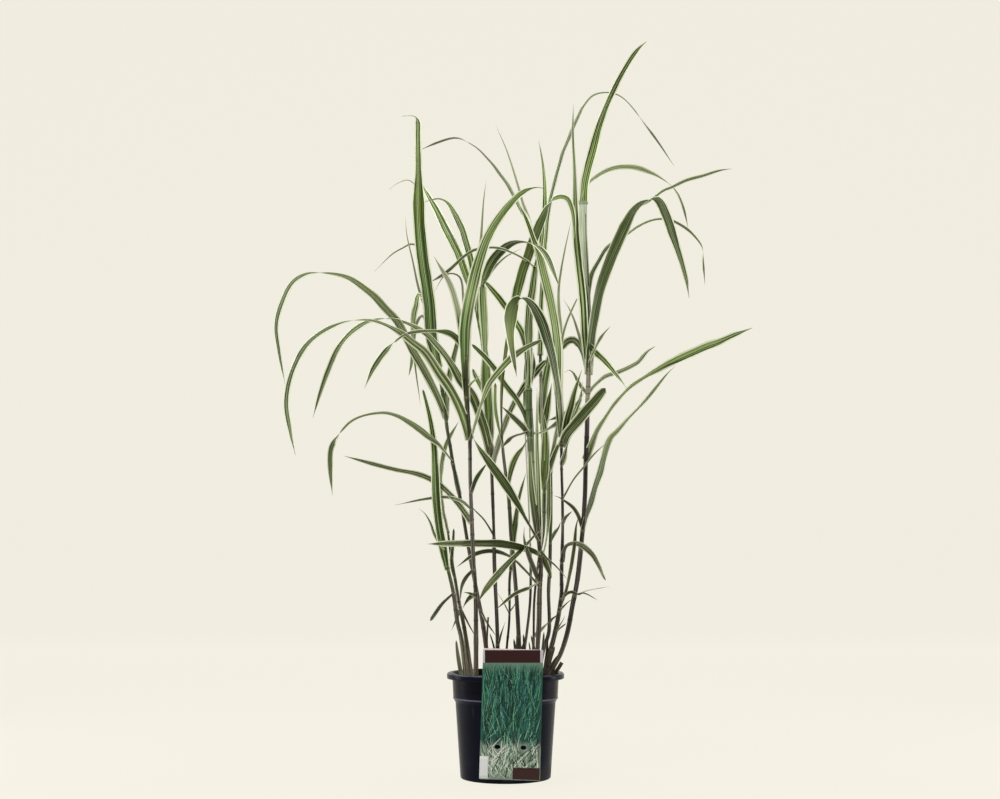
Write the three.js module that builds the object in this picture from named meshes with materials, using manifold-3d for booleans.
// Variegated maiden grass, about a metre tall, in a round nursery pot with a hanging plant label.
// Millimetres, +Z up. The origin is the middle of the pot's underside; -Y is the front.
import * as THREE from 'three';
import { mergeVertices } from 'three/addons/utils/BufferGeometryUtils.js';
import Module from 'manifold-3d';

// Pot: a round, slightly tapered container with a collar and a lipped rim.
const POT_HEIGHT = 149;
const RIM_RADIUS = 85;
const RIM_DEPTH = 8.5;
const RIM_HOLLOW = 4.6;
const LIP_THICKNESS = 2.4;
const COLLAR_TOP_RADIUS = 77;
const COLLAR_FOOT_RADIUS = 75.5;
const COLLAR_FOOT_Z = 112;
const STEP_Z = 107;
const STEP_RADIUS = 72.5;
const BASE_RADIUS = 65;
const WALL = 1.8;
const FLOOR = 2;
const EASE = 1.2;
const POT_SIDES = 36;
const DRAIN_COUNT = 6;
const DRAIN_RADIUS = 4;
const DRAIN_CIRCLE = 44;
const DRAIN_SIDES = 12;

// Potting soil, a little below the rim and slightly mounded towards the clump.
const SOIL_EDGE_Z = 137.5;
const SOIL_MOUND = 2.4;
const SOIL_CLOD = 0.5;
const SOIL_RINGS = [66, 52, 36, 18, 0];
const BURIED = 32;
const HOLE_SIDES = 8;
const CLEAR_OF_SOIL = 4;
const GAP = 0.3;

// Label: a card that hangs in front of the pot from a tongue pushed into the soil.
const CARD_WIDTH = 84;
const CARD_HEIGHT = 178;
const CARD_THICKNESS = 0.8;
const CARD_CORNER = 1.5;
const CARD_FRONT_Y = -88;
const CARD_MIDDLE_X = 4.9;
const CARD_FOOT_Z = 9;
const CARD_LEAN = 0.03;
const SLOT_X = 18;
const SLOT_Z = 53;
const SLOT_RADII = [4.2, 3];
const FOLD_RADIUS = 4;
const FOLD_OVERLAP = 2;
const TONGUE_WIDTH = 40;
const TONGUE_MIDDLE_X = -6;
const TONGUE_FOOT_Z = 118;
const TONGUE_FOOT_Y = -66;
const TONGUE_SLOT_TOP_Z = 142;

// Blades and culms.
const BLADE_THICKNESS = 0.7;
const FOLDED_FROM_WIDTH = 10;
const FOLD = 0.34;
const NARROW_TIP = 0.07;
const ROOT_WIDTH = 0.5;
const FULL_FROM = 0.14;
const TAPER_FROM = 0.42;
const TAPER_POWER = 1.5;
const REACH_POWER = 1.3;
const FEW_POINTS = 4;
const CULM_STEP = 46;
const FEWEST_CULM_STEPS = 3;
const CULM_SIDES = 6;
const TURN = Math.PI / 180;

// The plant's points are given as they look from this place in front of it, as x and z on the
// upright plane through the pot's axis. Each has a depth, and lies on its line of sight there.
const EYE = new THREE.Vector3(-8, -2050, 295);

// Each part's colour and roughness.
const POT_LOOK = ['#1f1f2c', 0.42];
const SOIL_LOOK = ['#1c1712', 0.95];
const LABEL_LOOK = ['#2f6f63', 0.35];
const LEAF_LOOK = ['#56803a', 0.55];
const STUB_LOOK = ['#5a4a3c', 0.8];

// Each stem has its culm's points from the soil up, its depth at the foot and the top, its
// thickness there, and its blades. A blade is its width, how far back it reaches from root to tip,
// how far it is turned from facing the front along its length in degrees, and its points; a last
// number, where there is one, is the share of the width that a broken or blunt tip keeps.
const STEMS = [
  {
    name: 'leafy_stem_01',
    culm: [[-57, 142], [-58, 150], [-65, 200], [-70, 220], [-76, 262], [-85, 300]],
    depth: [5, 22],
    thick: [6.5, 5],
    blades: [
      [12, 25, [20, 15], [[-85, 296], [-94, 340], [-100, 380], [-103, 420], [-104, 450], [-107, 490],
        [-112, 520], [-117, 541], [-123, 563]], 0.35],
      [7, -25, [-30, -20], [[-76, 263], [-90, 250], [-100, 237], [-110, 222]], 0.5],
      [4, -10, [20, 20], [[-90, 325], [-104, 347], [-111, 366], [-120, 380], [-128, 386]]],
    ],
  },
  {
    name: 'leafy_stem_02',
    culm: [[-49, 142], [-53, 165], [-58, 200], [-62, 222], [-67, 245], [-75, 290], [-81, 325], [-85, 355]],
    depth: [25, 58],
    thick: [5.5, 4],
    blades: [
      [5, 10, [20, 20], [[-75, 286], [-79, 310], [-77, 335], [-76, 357]], 0.7],
      [9, 30, [15, 30], [[-84, 350], [-92, 385], [-96, 430], [-92, 465], [-86, 485], [-78, 500], [-69, 515]]],
      [4, 10, [10, 20], [[-66, 240], [-72, 224], [-79, 208]]],
      [4, 10, [10, 20], [[-67, 243], [-59, 228], [-44, 200]]],
    ],
  },
  {
    name: 'leafy_stem_03',
    culm: [[-24, 142], [-28, 183], [-34, 225], [-50, 305], [-57, 345], [-66, 398], [-72, 425], [-77, 450],
      [-82, 480], [-86, 502], [-89, 525], [-92, 548], [-100, 600]],
    depth: [35, 10],
    thick: [9.5, 5.5],
    blades: [
      [4, -50, [20, 20], [[-36, 238], [-28, 222], [-14, 201]]],
      [13, 130, [-40, -60, -55, -40], [[-78, 455], [-90, 470], [-100, 482], [-116, 494], [-140, 512],
        [-160, 523], [-182, 528], [-210, 524], [-232, 513], [-248, 494], [-258, 475], [-259, 445],
        [-255, 405]]],
      [14, -120, [-30, -60, -70, -45, 0], [[-88, 520], [-100, 550], [-120, 590], [-140, 625], [-160, 663],
        [-180, 686], [-200, 707], [-230, 729], [-250, 737], [-278, 740], [-300, 738], [-320, 725],
        [-336, 692], [-343, 660], [-338, 620], [-328, 570]], 0.2],
      [9, 40, [20, 20], [[-88, 517], [-88, 545], [-84, 578], [-77, 612], [-68, 648]], 0.7],
      [18, -40, [20, 15, 10, 40], [[-100, 596], [-108, 625], [-113, 650], [-116, 690], [-120, 720],
        [-125, 760], [-131, 820], [-133, 900], [-133, 950], [-134, 976], [-141, 985], [-157, 984]],
        0.25],
      [6, 80, [40, 50], [[-100, 598], [-112, 660], [-118, 700], [-126, 780], [-131, 850], [-137, 875],
        [-148, 883], [-165, 877], [-176, 868]]],
      [4, 60, [30, 30], [[-99, 590], [-115, 670], [-130, 715], [-140, 760], [-149, 800], [-151, 825]]],
      [6, 120, [-40, -50], [[-99, 585], [-112, 680], [-120, 745], [-130, 779], [-142, 784], [-155, 778],
        [-170, 769], [-197, 742]]],
      [9, 40, [20, 40, 20], [[-98, 580], [-110, 655], [-122, 702], [-130, 706], [-134, 690], [-137, 675],
        [-138, 650], [-139, 625], [-140, 602], [-144, 583]]],
      [4, 60, [20, 20], [[-99, 590], [-112, 650], [-125, 674], [-132, 664], [-136, 640], [-136, 615],
        [-132, 580], [-129, 560], [-126, 537]]],
    ],
  },
  {
    name: 'leafy_stem_04',
    culm: [[-43, 142], [-43, 200], [-44, 270], [-47, 310], [-50, 380], [-52, 430], [-53, 490], [-57, 540],
      [-59, 600], [-60, 655]],
    depth: [-34, -58],
    thick: [8, 6],
    blades: [
      [7, -130, [-30, -45], [[-50, 366], [-60, 380], [-80, 405], [-96, 420], [-110, 429], [-130, 437],
        [-165, 444], [-200, 453], [-240, 464]]],
      [5, -60, [-30, -40], [[-50, 385], [-67, 398], [-95, 403], [-125, 399], [-163, 391]]],
      [5, -30, [20, 20], [[-51, 408], [-43, 430], [-28, 452]]],
      [14, -100, [-30, -50, -55, -25, 0], [[-53, 488], [-62, 520], [-80, 559], [-100, 589], [-120, 619],
        [-140, 635], [-155, 647], [-180, 661], [-205, 668], [-240, 665], [-270, 652], [-297, 630],
        [-317, 592], [-326, 545], [-319, 500], [-311, 465]], 0.2],
      [9, 15, [30, 30], [[-53, 483], [-40, 528], [-25, 570], [-10, 590], [10, 611], [28, 624], [45, 633],
        [61, 640]], 0.5],
      [10, -60, [-50, -60, -10, -30], [[-60, 625], [-80, 646], [-100, 651], [-145, 648], [-163, 637],
        [-182, 617], [-197, 594], [-210, 564]]],
      [6, -40, [20, 20], [[-60, 602], [-65, 640], [-72, 685], [-83, 722], [-100, 752], [-108, 766]]],
      [17, -80, [20, 10, 25, 50, 30], [[-57, 545], [-59, 580], [-60, 620], [-60, 655], [-56, 685],
        [-51, 710], [-43, 745], [-29, 789], [-11, 822], [4, 842], [22, 861], [38, 870], [50, 872],
        [62, 869]]],
      [4, -30, [-40, -50], [[-61, 650], [-63, 700], [-68, 733], [-80, 739], [-92, 735], [-107, 710]]],
      [5, -20, [-20, -20], [[-46, 298], [-58, 285], [-64, 272], [-66, 253]]],
      [5, -10, [20, 20], [[-44, 258], [-52, 262], [-62, 264]]],
      [6, -15, [20, 20], [[-44, 262], [-54, 254], [-63, 240]]],
    ],
  },
  {
    name: 'leafy_stem_05',
    culm: [[-11, 142], [-12, 210], [-16, 300], [-17, 350], [-20, 435], [-23, 520], [-27, 570], [-34, 630],
      [-43, 680], [-50, 715]],
    depth: [8, 42],
    thick: [6.5, 5],
    blades: [
      [4, -20, [20, 20], [[-17, 346], [-32, 370], [-44, 382], [-55, 396]]],
      [3, -10, [20, 20], [[-11, 185], [-6, 205], [0, 222]]],
      [14, 110, [-30, -50, -60, -30, -10], [[-21, 465], [-30, 500], [-40, 530], [-50, 555], [-66, 575],
        [-80, 600], [-100, 627], [-120, 648], [-140, 660], [-165, 669], [-180, 670], [-200, 667],
        [-225, 654], [-249, 627], [-265, 590], [-275, 560], [-286, 520]], 0.15],
      [10, -30, [25, 30], [[-20, 448], [-5, 500], [12, 540], [28, 567], [45, 589], [58, 603],
        [70, 614]], 0.4],
      [15, -20, [45, 30, 10, 62, 20, 0], [[-22, 478], [-25, 530], [-28, 565], [-29, 590], [-30, 615],
        [-31, 640], [-33, 680], [-34, 702], [-34, 722]], 0.8],
      [9, 10, [20, 20], [[-24, 533], [-33, 558], [-41, 575], [-49, 594]], 0.5],
      [13, 120, [20, 30], [[-49, 710], [-55, 727], [-60, 740], [-69, 765], [-86, 800], [-106, 840],
        [-122, 868], [-127, 878]]],
      [10, 60, [20, 45], [[-48, 704], [-49, 750], [-57, 790], [-64, 812], [-77, 840], [-88, 853],
        [-99, 858], [-123, 853]]],
      [15, -150, [20, 45, 80, 60, 10, 0], [[-42, 674], [-40, 700], [-34, 722], [-20, 757], [-2, 778],
        [12, 786], [26, 788], [40, 785], [52, 778], [60, 769], [66, 758], [71, 745], [76, 732],
        [81, 718]], 0.25],
      [4, 100, [20, 20], [[-47, 700], [-42, 750], [-37, 790], [-33, 850], [-29, 882]]],
      [4, 30, [30, 30], [[-45, 690], [-36, 718], [-16, 748], [0, 764], [12, 771], [24, 777]]],
    ],
  },
  {
    name: 'leafy_stem_06',
    culm: [[22, 142], [20, 185], [16, 260], [9, 340], [5, 400], [0, 440], [-4, 477], [-6, 530], [-5, 570],
      [-2, 600], [3, 635], [9, 668], [14, 695]],
    depth: [-15, -40],
    thick: [7, 5],
    blades: [
      [7, -30, [20, 20], [[3, 418], [12, 455], [28, 480], [36, 495]]],
      [6, -20, [20, 20], [[-4, 480], [-10, 505], [-15, 535], [-15, 573]], 0.5],
      [14, 60, [15, 20, 50, 30], [[13, 690], [19, 715], [27, 745], [34, 765], [41, 787], [48, 805],
        [54, 820], [61, 836], [69, 849], [78, 856], [87, 857], [94, 853], [99, 845], [102, 828],
        [103, 800]]],
    ],
  },
  {
    name: 'leafy_stem_07',
    culm: [[0, 142], [2, 185], [5, 215], [6, 240], [6, 280], [8, 300]],
    depth: [30, 38],
    thick: [4, 3.5],
    blades: [
      [6, -10, [20, 30], [[8, 296], [12, 345], [15, 370], [20, 400], [25, 420], [31, 440]]],
      [4, 20, [20, 20], [[6, 232], [-3, 249], [-12, 263]]],
      [4, 10, [20, 20], [[6, 236], [12, 244], [17, 253]]],
    ],
  },
  {
    name: 'leafy_stem_08',
    culm: [[46, 142], [47, 185], [49, 220], [50, 265], [52, 300], [49, 340], [47, 370], [43, 400], [39, 440],
      [37, 503], [35, 540], [35, 566]],
    depth: [-38, -28],
    thick: [8, 9],
    blades: [
      [9, -80, [-20, -35], [[49, 338], [40, 360], [20, 395], [0, 422], [-20, 450], [-40, 477], [-47, 489]]],
      [13, -90, [-40, -55], [[51, 311], [42, 321], [30, 327], [10, 332], [-20, 335], [-60, 335],
        [-115, 334]]],
      [7, -60, [-20, -30], [[50, 272], [43, 280], [25, 300], [5, 317], [-20, 324], [-45, 319], [-72, 300]]],
      [11, -50, [20, 35, 20], [[48, 352], [38, 341], [25, 327], [5, 307], [-14, 286], [-29, 268], [-40, 250]],
        0.3],
      [6, -14, [20, 20], [[50, 278], [43, 295], [36, 312], [30, 330], [27, 345], [28, 360]]],
      [8, 15, [20, 20], [[50, 325], [56, 311], [60, 300], [64, 285], [66, 268]], 0.4],
      [6, -60, [20, 20], [[51, 280], [38, 272], [15, 262], [-15, 238]]],
      [10, -40, [-20, -40], [[38, 500], [25, 499], [12, 492], [-5, 472]]],
      [7, -30, [-20, -20], [[38, 490], [28, 505], [15, 518], [-5, 537]]],
      [11, 30, [30, 20, 30], [[37, 506], [30, 522], [20, 545], [0, 582], [-13, 595], [-30, 612],
        [-50, 631]], 0.5],
      [14, 40, [15, 15, 20, 20], [[35, 562], [36, 590], [36, 620], [35, 645], [35, 665], [37, 690],
        [41, 715], [44, 740], [49, 765], [54, 790]], 0.3],
      [9, 30, [20, 30], [[34, 560], [34, 600], [31, 630], [24, 650], [16, 664], [8, 676], [0, 688],
        [-10, 702], [-20, 714], [-30, 726]], 0.6],
      [4, -20, [20, 20], [[51, 325], [60, 314], [72, 304], [82, 293], [92, 281]]],
      [7, 9, [15, 15], [[50, 325], [50, 355], [49, 400], [48, 440], [47, 480], [47, 520], [47, 566]]],
    ],
  },
  {
    name: 'leafy_stem_09',
    culm: [[25, 142], [28, 183], [31, 205], [36, 250], [37, 300], [36, 350], [33, 420], [30, 480], [28, 540],
      [30, 600], [36, 660], [44, 720], [52, 770]],
    depth: [45, 70],
    thick: [6, 4.5],
    blades: [
      [10, 60, [15, 60, 65, 60, 50], [[51, 762], [48, 780], [41, 798], [35, 814], [29, 829], [21, 842],
        [14, 856], [5, 873], [-10, 895], [-30, 920], [-50, 938], [-75, 949], [-100, 943], [-130, 930]]],
      [4, 120, [20, 20], [[48, 744], [44, 790], [34, 828], [27, 846], [19, 875], [8, 912], [0, 935],
        [-15, 970]]],
      [8, 150, [20, 20], [[52, 766], [57, 810], [60, 850], [58, 900], [51, 945]]],
      [7, 80, [-30, -60], [[50, 744], [40, 752], [27, 762], [10, 771], [-10, 778], [-40, 777], [-60, 767],
        [-80, 748], [-92, 738], [-110, 727]]],
    ],
  },
  {
    name: 'leafy_stem_10',
    culm: [[39, 142], [41, 200], [42, 250], [47, 300], [55, 350], [57, 400], [57, 450], [55, 505], [53, 560],
      [52, 620]],
    depth: [0, 22],
    thick: [8, 6],
    blades: [
      [8, 20, [20, 20], [[57, 413], [59, 430], [65, 445], [72, 465], [80, 483]], 0.7],
      [4, 40, [20, 20], [[57, 425], [67, 460], [73, 488], [80, 512]]],
      [6, 12, [15, 15], [[47, 300], [58, 330], [63, 370], [64, 420], [62, 465]]],
      [12, -7, [15, 20], [[56, 420], [58, 450], [59, 475], [59, 495], [57, 515], [54, 540]]],
      [9, -5, [20, 20], [[55, 500], [60, 522], [64, 545], [67, 560], [69, 573]]],
      [11, 14, [15, 20], [[54, 515], [55, 545], [58, 570], [62, 592], [67, 615], [73, 640], [76, 668]], 0.3],
      [5, 5, [20, 20], [[41, 200], [50, 208], [60, 218], [66, 224]]],
      [9, 150, [10, 30, 55, 55, 40], [[52, 614], [53, 660], [54, 700], [60, 780], [66, 840], [72, 870],
        [80, 900], [87, 925], [95, 945], [102, 962], [112, 985], [120, 1000], [134, 1016], [155, 1021],
        [170, 1018], [180, 1012], [192, 1000], [212, 972], [233, 942], [257, 904]]],
    ],
  },
  {
    name: 'leafy_stem_11',
    culm: [[48, 142], [55, 180], [63, 205], [64, 222], [63, 265], [65, 300], [66, 340], [67, 380], [67, 440]],
    depth: [35, 60],
    thick: [8, 6],
    blades: [
      [7, 20, [20, 20], [[66, 338], [72, 350], [78, 358], [81, 366]]],
      [6, 80, [20, 30], [[67, 436], [72, 480], [78, 510], [82, 560], [83, 600], [83, 650], [80, 690],
        [80, 715], [84, 745], [89, 772], [95, 800], [100, 822]]],
      [4, 5, [20, 20], [[64, 219], [68, 225], [74, 230], [78, 236]]],
    ],
  },
  {
    name: 'leafy_stem_12',
    culm: [[53, 142], [60, 160], [64, 175], [72, 205], [79, 240], [82, 265], [82, 290], [84, 350], [84, 400],
      [83, 450], [83, 505]],
    depth: [-15, -11],
    thick: [9, 6],
    blades: [
      [5, -10, [20, 20], [[80, 243], [88, 265], [95, 295], [101, 330], [104, 360], [107, 372]]],
      [9, -30, [30, 40], [[83, 308], [86, 325], [90, 332], [97, 335], [105, 335], [112, 332], [120, 326],
        [128, 318], [134, 308], [139, 298], [143, 288], [147, 281]], 0.45],
      [6, -30, [40, 40], [[82, 255], [93, 264], [100, 264], [106, 261], [113, 263], [122, 260], [135, 252]]],
      [5, -10, [20, 20], [[79, 238], [88, 247], [93, 251], [98, 254]]],
      [5, -8, [20, 20], [[75, 208], [82, 214], [88, 219]], 0.5],
      [4, -14, [20, 20], [[75, 210], [82, 221], [87, 230]]],
      [6, -15, [20, 20], [[84, 364], [88, 373], [93, 378], [98, 382]], 0.5],
      [4, -60, [20, 20], [[84, 400], [100, 428], [117, 449], [130, 465], [147, 481]]],
      [7, -10, [20, 20], [[83, 450], [87, 463], [90, 475], [94, 486]]],
      [15, -40, [10, 15], [[84, 477], [90, 494], [100, 507], [110, 519], [120, 531], [130, 542], [140, 554],
        [149, 565]], 0.6],
      [10, -20, [20, 20], [[84, 484], [88, 498], [92, 520], [98, 540], [103, 560], [109, 578], [114, 593]]],
      [7, 10, [20, 20], [[84, 490], [95, 520], [105, 540], [112, 550], [118, 558]]],
      [18, -150, [30, 35, 35, 65, 20, 15], [[83, 500], [81, 545], [76, 580], [70, 612], [62, 641],
        [56, 660], [47, 680], [39, 692], [27, 700], [17, 698], [11, 688], [8, 675], [7, 655], [9, 630],
        [13, 605], [17, 582]], 0.2],
      [14, 10, [15, 20], [[83, 492], [80, 545], [78, 580], [78, 620], [74, 660], [68, 700], [62, 740],
        [54, 775], [48, 800]]],
      [8, 15, [20, 20], [[84, 486], [98, 515], [106, 535], [112, 552], [115, 575]]],
      [5, 60, [20, 20], [[83, 500], [82, 560], [82, 600], [85, 640], [92, 665], [100, 684], [108, 701]], 0.5],
    ],
  },
  {
    name: 'leafy_stem_13',
    culm: [[64, 142], [69, 155], [80, 175], [90, 205], [98, 245], [105, 280], [110, 320], [113, 350],
      [117, 400], [119, 460], [121, 500], [122, 540], [124, 583], [124, 640], [124, 680], [122, 720],
      [120, 760], [118, 800], [118, 850]],
    depth: [8, 35],
    thick: [9, 8],
    blades: [
      [5, 10, [20, 20], [[113, 356], [110, 368], [106, 378], [100, 387], [93, 393], [86, 398], [78, 403],
        [70, 405]]],
      [3, 60, [20, 20], [[101, 259], [118, 266], [133, 269], [152, 272]]],
      [12, 60, [20, 40, 30, 10], [[110, 325], [112, 345], [117, 368], [126, 395], [133, 420], [140, 440],
        [145, 460], [150, 478], [156, 491], [165, 500], [180, 517], [203, 541], [222, 563], [240, 585],
        [253, 598]]],
      [12, -80, [50, 50, 35, 10, 0], [[119, 458], [127, 480], [137, 503], [149, 522], [162, 541],
        [175, 556], [190, 570], [205, 580], [222, 590], [240, 600], [260, 610], [280, 619], [300, 628],
        [320, 635], [340, 644], [370, 656]], 0.25],
      [10, 20, [20, 20], [[122, 532], [110, 530], [95, 526], [80, 522], [62, 516]]],
      [6, 70, [20, 60, 10, 30], [[122, 554], [130, 566], [137, 573], [148, 582], [158, 586], [168, 589],
        [180, 594], [190, 599], [198, 604], [205, 612], [212, 620], [224, 628]]],
      [5, 15, [20, 20], [[122, 556], [113, 567], [107, 577], [101, 588], [95, 592], [88, 588]]],
      [11, 30, [40, 20, 20], [[124, 594], [115, 620], [109, 631], [103, 637], [96, 637], [89, 632],
        [82, 622]], 0.7],
      [4, 50, [20, 20], [[124, 600], [117, 620], [113, 635], [108, 652], [103, 668], [98, 680], [93, 690],
        [87, 699]]],
      [4, -30, [20, 20], [[124, 596], [131, 612], [142, 630], [148, 640], [160, 658]]],
      [8, -40, [20, 30], [[124, 632], [135, 618], [145, 609], [155, 598], [163, 588], [172, 577],
        [181, 564]]],
      [17, -60, [5, 10, 20, 35, 60, 160, 175, 175], [[124, 585], [129, 640], [139, 700], [149, 740],
        [164, 780], [181, 818], [192, 839], [204, 851], [216, 857], [228, 859], [238, 852], [244, 835],
        [250, 818], [256, 798], [263, 776], [269, 755], [274, 730], [277, 701]], 0.25],
      [8, 100, [30, 40, 50, 30], [[124, 588], [128, 650], [140, 710], [155, 760], [172, 800], [192, 833],
        [213, 847], [228, 858], [240, 867], [252, 872], [275, 883], [300, 890], [325, 898], [345, 901]]],
      [10, -60, [20, 25], [[124, 586], [119, 640], [116, 700], [111, 750], [107, 800], [106, 850],
        [105, 900], [103, 950], [104, 1003]]],
      [6, 50, [30, 40], [[123, 702], [130, 738], [140, 757], [152, 777], [165, 788], [182, 798],
        [200, 811], [222, 821], [240, 823], [253, 820], [272, 809], [285, 797], [297, 779], [298, 756],
        [300, 721]]],
      [9, 110, [30, 60, 55, 40], [[118, 846], [121, 864], [128, 880], [138, 889], [150, 896], [168, 903],
        [185, 904], [202, 902], [220, 895], [240, 884], [252, 874], [262, 860], [268, 845], [273, 825],
        [276, 808]]],
      [12, -50, [15, 15, 20], [[118, 846], [121, 875], [126, 900], [134, 930], [143, 960], [153, 990],
        [166, 1020], [181, 1050], [198, 1078], [209, 1092], [219, 1101]], 0.3],
    ],
  },
];

// Old culms cut off above the soil: foot and top as seen, depth and thickness.
const STUBS = [
  { name: 'cut_stub_1', seen: [[65, 142], [75, 152], [84, 166]], depth: -10, thick: [7.2, 7.2] },
  { name: 'cut_stub_2', seen: [[60, 142], [62, 160], [66, 186]], depth: -29, thick: [7.5, 6.5] },
  { name: 'cut_stub_3', seen: [[18, 142], [18, 165], [19, 201]], depth: -46, thick: [9.5, 9] },
  { name: 'cut_stub_4', seen: [[-24, 142], [-27, 190], [-25, 232]], depth: -50, thick: [5, 3.5] },
];

const wasm = await Module();
wasm.setup();

// A closed three.js geometry as a solid that can be joined or cut.
function solidOf(geometry) {
  const bare = geometry.clone();
  bare.deleteAttribute('normal');
  bare.deleteAttribute('uv');
  const merged = mergeVertices(bare);
  return new wasm.Manifold(new wasm.Mesh({
    numProp: 3,
    vertProperties: merged.attributes.position.array,
    triVerts: new Uint32Array(merged.index.array),
  }));
}

function geometryOf(solid) {
  const mesh = solid.getMesh();
  const geometry = new THREE.BufferGeometry();
  geometry.setAttribute('position', new THREE.BufferAttribute(mesh.vertProperties, 3));
  geometry.setIndex(new THREE.BufferAttribute(mesh.triVerts, 1));
  return geometry;
}

function named(name, geometry, [color, roughness]) {
  const material = new THREE.MeshStandardMaterial({ color, roughness, metalness: 0 });
  const mesh = new THREE.Mesh(geometry, material);
  mesh.name = name;
  return mesh;
}

// A radius-and-height profile turned about the pot's axis.
function turned(profile) {
  const geometry = new THREE.LatheGeometry(profile.map(([r, z]) => new THREE.Vector2(r, z)), POT_SIDES);
  geometry.rotateX(Math.PI / 2);
  return geometry;
}

// An upright round rod, used to cut holes.
function rod(x, y, bottom, top, radius, sides) {
  const geometry = new THREE.CylinderGeometry(radius, radius, top - bottom, sides);
  geometry.rotateX(Math.PI / 2);
  geometry.translate(x, y, (top + bottom) / 2);
  return solidOf(geometry);
}

// The line of the pot's inner face, from the middle of its floor up to the inside of the rim.
const INNER_FACE = [
  [0, FLOOR],
  [BASE_RADIUS - WALL - EASE, FLOOR],
  [BASE_RADIUS - WALL, FLOOR + EASE],
  [STEP_RADIUS - WALL, STEP_Z],
  [COLLAR_FOOT_RADIUS - WALL, COLLAR_FOOT_Z],
  [COLLAR_TOP_RADIUS - WALL, POT_HEIGHT - RIM_DEPTH - EASE],
];

function potSolid() {
  const rimFoot = POT_HEIGHT - RIM_DEPTH;
  const profile = [
    [0, 0],
    [BASE_RADIUS - EASE, 0],
    [BASE_RADIUS, EASE],
    [STEP_RADIUS, STEP_Z],
    [COLLAR_FOOT_RADIUS, COLLAR_FOOT_Z],
    [COLLAR_TOP_RADIUS, rimFoot - EASE],
    [COLLAR_TOP_RADIUS + EASE, rimFoot + RIM_HOLLOW],
    [RIM_RADIUS - LIP_THICKNESS, rimFoot + RIM_HOLLOW],
    [RIM_RADIUS - LIP_THICKNESS, rimFoot],
    [RIM_RADIUS - EASE / 2, rimFoot],
    [RIM_RADIUS, rimFoot + EASE],
    [RIM_RADIUS, POT_HEIGHT - 2 * EASE],
    [RIM_RADIUS - EASE, POT_HEIGHT - EASE / 2],
    [RIM_RADIUS - 2 * EASE, POT_HEIGHT],
    [COLLAR_TOP_RADIUS + EASE, POT_HEIGHT],
    [COLLAR_TOP_RADIUS, POT_HEIGHT - EASE],
    ...INNER_FACE.toReversed(),
  ];
  let pot = solidOf(turned(profile));
  for (let i = 0; i < DRAIN_COUNT; i += 1) {
    const angle = (i * 2 * Math.PI) / DRAIN_COUNT;
    const x = DRAIN_CIRCLE * Math.cos(angle);
    const y = DRAIN_CIRCLE * Math.sin(angle);
    pot = pot.subtract(rod(x, y, -FLOOR, 2 * FLOOR, DRAIN_RADIUS, DRAIN_SIDES));
  }
  return pot;
}

// A point seen at x and z in the front view, carried along its line of sight to a depth.
function place([x, z], depth) {
  const further = (depth - EYE.y) / -EYE.y;
  return new THREE.Vector3(EYE.x + (x - EYE.x) * further, depth, EYE.z + (z - EYE.z) * further);
}

const mix = THREE.MathUtils.lerp;

// A list's value at share t of the way along it.
function along(list, t) {
  const at = t * (list.length - 1);
  const i = Math.min(Math.floor(at), list.length - 2);
  return mix(list[i], list[i + 1], at - i);
}

function culmDepth(stem, z) {
  const foot = stem.culm[0][1];
  const top = stem.culm.at(-1)[1];
  return mix(stem.depth[0], stem.depth[1], (z - foot) / (top - foot));
}

// Rings of one section each, joined into a closed body. A section runs along its lower side and
// back along its upper side, so both ends close as a strip, and both sides share their diagonals.
function swept(rings) {
  const size = rings[0].length;
  const half = size / 2;
  const index = [];
  const quad = (a, b, c, d) => index.push(a, b, c, a, c, d);
  for (let k = 0; k + 1 < rings.length; k += 1) {
    for (let r = 0; r < size; r += 1) {
      const s = (r + 1) % size;
      const [a, b] = [k * size + r, k * size + s];
      const [c, d] = [b + size, a + size];
      if (r >= half && s !== 0) quad(b, c, d, a);
      else quad(a, b, c, d);
    }
  }
  const last = (rings.length - 1) * size;
  for (let j = 0; j + 1 < half; j += 1) {
    const [a, b, c, d] = [j, j + 1, size - 2 - j, size - 1 - j];
    quad(last + a, last + b, last + c, last + d);
    quad(a, d, c, b);
  }
  const geometry = new THREE.BufferGeometry();
  geometry.setAttribute('position', new THREE.Float32BufferAttribute(rings.flat(2), 3));
  geometry.setIndex(index);
  return geometry;
}

// The ring of a section's [across, up] points at a place on a line, turned about the line from
// facing the front.
function ringAt(point, tangent, turn, section) {
  const sight = point.clone().sub(EYE);
  const across = tangent.clone().cross(sight).normalize().applyAxisAngle(tangent, turn);
  const up = tangent.clone().cross(across).normalize();
  return section.map(([u, v]) => {
    const at = point.clone().addScaledVector(across, u).addScaledVector(up, v);
    return at.toArray();
  });
}

function roundSection(radius) {
  const section = [];
  for (let i = 0; i < CULM_SIDES; i += 1) {
    const angle = Math.PI + (i * 2 * Math.PI) / CULM_SIDES;
    section.push([radius * Math.cos(angle), radius * Math.sin(angle)]);
  }
  return section;
}

// A blade's section: a thin flat strip, or a shallow V with its midrib at the bottom.
function bladeSection(width, folded) {
  const w = width / 2;
  const t = BLADE_THICKNESS;
  if (!folded) return [[-w, 0], [w, 0], [w, t], [-w, t]];
  const rib = -w * FOLD;
  return [[-w, 0], [0, rib], [w, 0], [w, t], [0, rib + t], [-w, t]];
}

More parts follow.
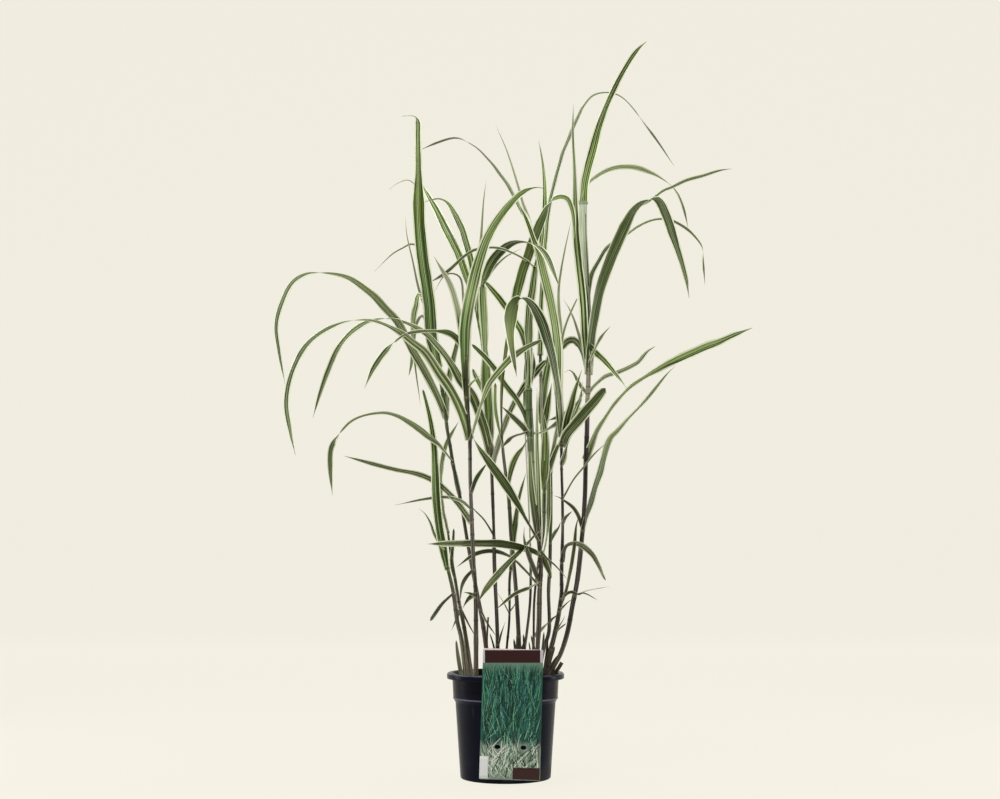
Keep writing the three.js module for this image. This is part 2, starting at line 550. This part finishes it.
function culmGeometry(points, thick) {
  const curve = new THREE.CatmullRomCurve3(points);
  const steps = Math.max(FEWEST_CULM_STEPS, Math.round(curve.getLength() / CULM_STEP));
  const up = new THREE.Vector3(0, 0, 1);
  const buried = points[0].clone().addScaledVector(up, -BURIED);
  const rings = [
    ringAt(buried, up, 0, roundSection(thick[0] / 2)),
    ringAt(points[0], up, 0, roundSection(thick[0] / 2)),
  ];
  for (let k = 1; k <= steps; k += 1) {
    const t = k / steps;
    const section = roundSection(mix(thick[0], thick[1], t) / 2);
    rings.push(ringAt(curve.getPointAt(t), curve.getTangentAt(t), 0, section));
  }
  return swept(rings);
}

// The share of a blade's full width at share t of its length.
function bladeShare(t, tip) {
  if (t < FULL_FROM) return mix(ROOT_WIDTH, 1, Math.sin((t / FULL_FROM) * Math.PI / 2));
  if (t < TAPER_FROM) return 1;
  return mix(1, tip, ((t - TAPER_FROM) / (1 - TAPER_FROM)) ** TAPER_POWER);
}

function bladeGeometry(stem, [width, reach, turns, seen, tip = NARROW_TIP]) {
  const flat = seen.map(([x, z]) => new THREE.Vector2(x, z));
  const lengths = [0];
  for (let i = 1; i < flat.length; i += 1) {
    lengths.push(lengths[i - 1] + flat[i].distanceTo(flat[i - 1]));
  }
  const root = culmDepth(stem, seen[0][1]);
  const points = seen.map((point, i) => {
    const share = lengths[i] / lengths.at(-1);
    return place(point, root + reach * share ** REACH_POWER);
  });
  const curve = new THREE.CatmullRomCurve3(points);
  const steps = (points.length - 1) * (points.length > FEW_POINTS ? 1 : 2);
  const rings = [];
  for (let k = 0; k <= steps; k += 1) {
    const u = k / steps;
    const t = along(lengths, u) / lengths.at(-1);
    const section = bladeSection(width * bladeShare(t, tip), width >= FOLDED_FROM_WIDTH);
    rings.push(ringAt(curve.getPoint(u), curve.getTangent(u), along(turns, t) * TURN, section));
  }
  return swept(rings);
}

function stemSolid(stem) {
  const points = stem.culm.map((point) => place(point, culmDepth(stem, point[1])));
  let solid = solidOf(culmGeometry(points, stem.thick));
  for (const blade of stem.blades) {
    solid = solid.add(solidOf(bladeGeometry(stem, blade)));
  }
  // A pocket that the roots of the blades close in is filled.
  return solid.decompose().reduce((a, b) => (a.volume() > b.volume() ? a : b));
}

function stubSolid(stub) {
  const points = stub.seen.map((point) => place(point, stub.depth));
  return solidOf(culmGeometry(points, stub.thick));
}

// The label's outline in the picture plane, with the two slots punched through it.
function cardShape() {
  const [w, h, c] = [CARD_WIDTH / 2, CARD_HEIGHT, CARD_CORNER];
  const shape = new THREE.Shape();
  shape.moveTo(-w + c, 0);
  shape.lineTo(w - c, 0);
  shape.quadraticCurveTo(w, 0, w, c);
  shape.lineTo(w, h - c);
  shape.quadraticCurveTo(w, h, w - c, h);
  shape.lineTo(-w + c, h);
  shape.quadraticCurveTo(-w, h, -w, h - c);
  shape.lineTo(-w, c);
  shape.quadraticCurveTo(-w, 0, -w + c, 0);
  for (const side of [-1, 1]) {
    const slot = new THREE.Path();
    slot.absellipse(side * SLOT_X, SLOT_Z - CARD_FOOT_Z, SLOT_RADII[0], SLOT_RADII[1], 0, 2 * Math.PI);
    shape.holes.push(slot);
  }
  return shape;
}

// The fold and tongue behind the card, drawn from the side as y and z.
function tongueShape() {
  const t = CARD_THICKNESS;
  const top = CARD_FOOT_Z + CARD_HEIGHT;
  const front = CARD_FRONT_Y;
  const back = front + 2 * FOLD_RADIUS;
  const shape = new THREE.Shape();
  shape.moveTo(front, top - FOLD_OVERLAP);
  shape.lineTo(front, top - FOLD_RADIUS / 2);
  shape.absarc(front + FOLD_RADIUS, top - FOLD_RADIUS / 2, FOLD_RADIUS, Math.PI, 0, true);
  shape.lineTo(TONGUE_FOOT_Y, TONGUE_FOOT_Z);
  shape.lineTo(TONGUE_FOOT_Y - t, TONGUE_FOOT_Z);
  shape.lineTo(back - t, top - FOLD_RADIUS / 2);
  shape.absarc(front + FOLD_RADIUS, top - FOLD_RADIUS / 2, FOLD_RADIUS - t, 0, Math.PI, false);
  shape.lineTo(front + t, top - FOLD_OVERLAP);
  shape.closePath();
  return shape;
}

function labelSolid() {
  const card = new THREE.ExtrudeGeometry(cardShape(), {
    depth: CARD_THICKNESS, bevelEnabled: false, curveSegments: 6,
  });
  card.rotateX(Math.PI / 2);
  card.translate(0, CARD_FRONT_Y + CARD_THICKNESS, CARD_FOOT_Z);
  const tongue = new THREE.ExtrudeGeometry(tongueShape(), {
    depth: TONGUE_WIDTH, bevelEnabled: false, curveSegments: 8,
  });
  tongue.rotateY(Math.PI / 2);
  tongue.rotateX(Math.PI / 2);
  tongue.translate(TONGUE_MIDDLE_X - TONGUE_WIDTH / 2, 0, 0);
  const label = geometryOf(solidOf(card).add(solidOf(tongue)));
  label.rotateY(CARD_LEAN);
  label.translate(CARD_MIDDLE_X, 0, 0);
  return solidOf(label);
}

// The clods of the soil's top, as a height over its edge.
function soilHeight(x, y) {
  const r = Math.hypot(x, y) / COLLAR_TOP_RADIUS;
  const clods = Math.sin(x * 0.31 + 1) * Math.cos(y * 0.27) + Math.sin((x + y) * 0.17);
  return SOIL_EDGE_Z + SOIL_MOUND * (1 - r * r) + SOIL_CLOD * clods * (1 - r ** 6);
}

function soilSolid(stems, stubs) {
  const sides = INNER_FACE.slice(0, -1).map(([r, z]) => [Math.max(0, r - GAP), z + GAP]);
  const edge = COLLAR_TOP_RADIUS - WALL - 2 * GAP;
  const top = [edge, ...SOIL_RINGS].map((r) => [r, SOIL_EDGE_Z]);
  const geometry = turned([...sides, ...top]);
  const position = geometry.attributes.position;
  for (let i = 0; i < position.count; i += 1) {
    if (position.getZ(i) > SOIL_EDGE_Z - 1) {
      position.setZ(i, soilHeight(position.getX(i), position.getY(i)));
    }
  }
  let soil = solidOf(geometry);
  for (const { foot, radius } of [...stems, ...stubs]) {
    const wide = (radius + GAP) / Math.cos(Math.PI / HOLE_SIDES);
    const bottom = foot.z - BURIED - GAP;
    soil = soil.subtract(rod(foot.x, foot.y, bottom, foot.z + CLEAR_OF_SOIL, wide, HOLE_SIDES));
  }
  return soil.subtract(tongueSlot());
}

// The straight slot that the label's tongue stands in.
function tongueSlot() {
  const rise = CARD_FOOT_Z + CARD_HEIGHT - FOLD_RADIUS / 2 - TONGUE_FOOT_Z;
  const run = CARD_FRONT_Y + 2 * FOLD_RADIUS - TONGUE_FOOT_Y;
  const depth = TONGUE_SLOT_TOP_Z - TONGUE_FOOT_Z + 2 * GAP;
  const wide = CARD_THICKNESS + 2 * GAP;
  const box = new THREE.BoxGeometry(TONGUE_WIDTH + 2 * GAP, wide, depth);
  box.translate(0, -CARD_THICKNESS / 2, depth / 2 - GAP);
  box.rotateX(Math.atan2(-run, rise));
  box.translate(TONGUE_MIDDLE_X, TONGUE_FOOT_Y, TONGUE_FOOT_Z);
  box.rotateY(CARD_LEAN);
  box.translate(CARD_MIDDLE_X, 0, 0);
  return solidOf(box);
}

const grass = new THREE.Group();

const footOf = (point, depth, thick) => ({ foot: place(point, depth), radius: thick / 2 });
const stemFeet = STEMS.map((stem) => footOf(stem.culm[0], stem.depth[0], stem.thick[0]));
const stubFeet = STUBS.map((stub) => footOf(stub.seen[0], stub.depth, stub.thick[0]));

grass.add(named('pot', geometryOf(potSolid()), POT_LOOK));
grass.add(named('potting_soil', geometryOf(soilSolid(stemFeet, stubFeet)), SOIL_LOOK));
grass.add(named('plant_label', geometryOf(labelSolid()), LABEL_LOOK));
for (const stem of STEMS) {
  grass.add(named(stem.name, geometryOf(stemSolid(stem)), LEAF_LOOK));
}
for (const stub of STUBS) {
  grass.add(named(stub.name, geometryOf(stubSolid(stub)), STUB_LOOK));
}

export default grass;
